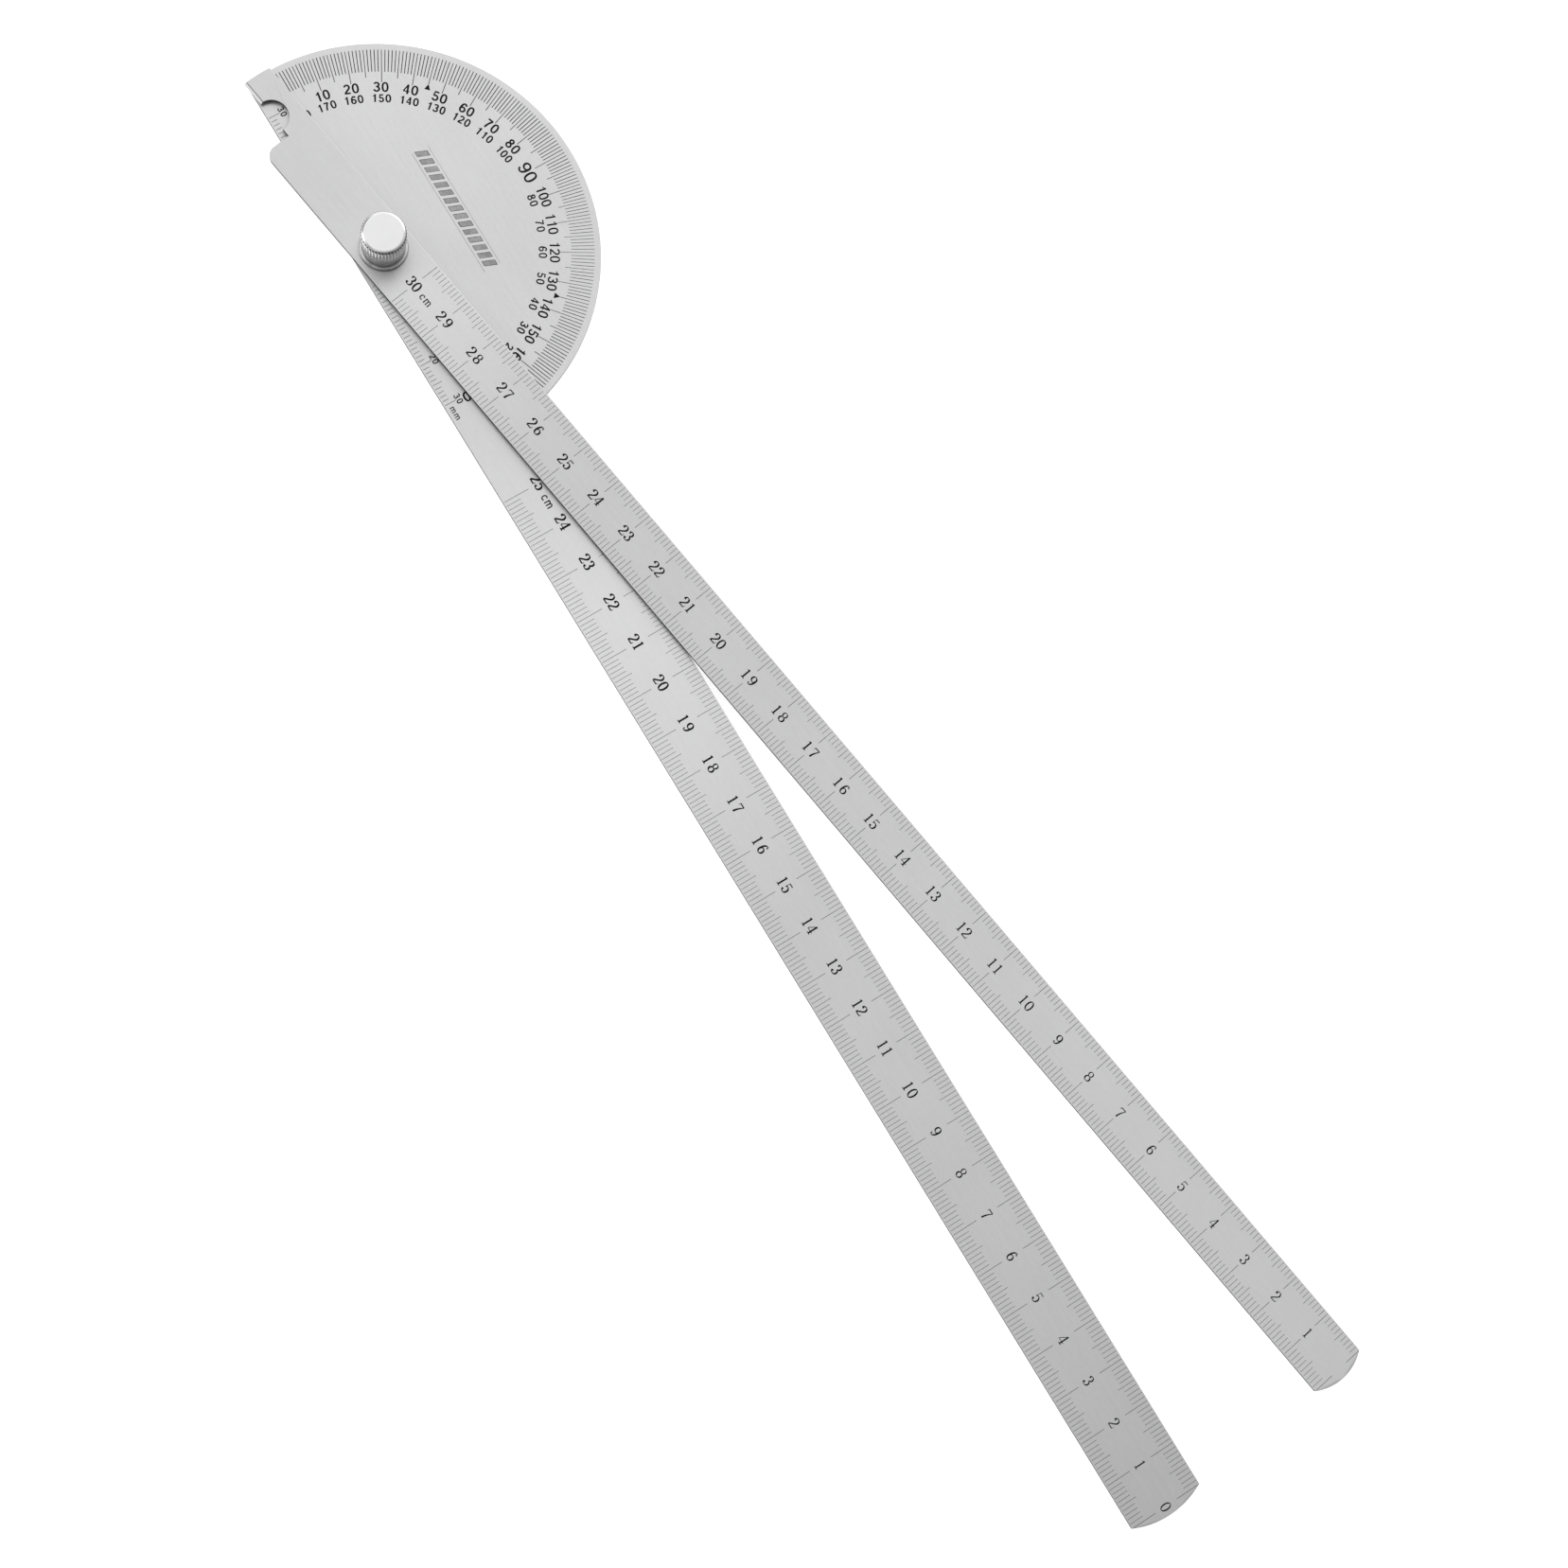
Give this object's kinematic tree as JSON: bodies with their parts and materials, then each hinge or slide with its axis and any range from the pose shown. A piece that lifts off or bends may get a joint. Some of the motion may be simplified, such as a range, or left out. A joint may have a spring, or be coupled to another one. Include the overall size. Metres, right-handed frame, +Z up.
{
  "type": "two-arm protractor",
  "caption": "Flat steel protractor: a half-round degree head with a long main blade, a pivoting swing arm and a knurled clamping thumb nut.",
  "frame": {"origin": "on the pivot axis, at the rear face of the pivot stud's head, which is the face the tool rests on", "axes": "+X along the main blade to its free end, +Y from the pivot towards the degree arc, +Z up through the thumb nut; the swing arm stands 8.85 degrees open at rest"},
  "size_m": [0.3586, 0.0651, 0.0132],
  "materials": {
    "blade_steel": "satin, brushed along the blade",
    "arm_steel": "satin, brushed along the arm",
    "bright_metal": "bright nickel plate",
    "washer_metal": "plain turned steel",
    "scale_ink": "black filled etching of the graduations and numerals"
  },
  "bodies": {
    "plate": {"protractor_plate": "blade_steel", "pivot_stud": "bright_metal", "spacer_washer": "washer_metal"},
    "arm": {"swing_arm": "arm_steel"},
    "washer": {"clamp_washer": "washer_metal"},
    "nut": {"thumb_nut": "bright_metal"}
  },
  "joints": [
    {"name": "arm_swing", "type": "hinge", "parent": "plate", "child": "arm", "pos_m": [0, 0, 0.00302], "axis": [0, 0, 1], "continuous": true},
    {"name": "nut_lift", "type": "slide", "parent": "plate", "child": "washer", "axis": [0, 0, 1], "range_m": [0, 0.00142]},
    {"name": "nut_turn", "type": "hinge", "parent": "washer", "child": "nut", "pos_m": [0, 0, 0.009], "axis": [0, 0, 1], "range_deg": [0, 720]}
  ],
  "couplings": [
    {"joint": "nut_lift", "follows": "nut_turn", "m_per_rad": 0.00011141}
  ]
}
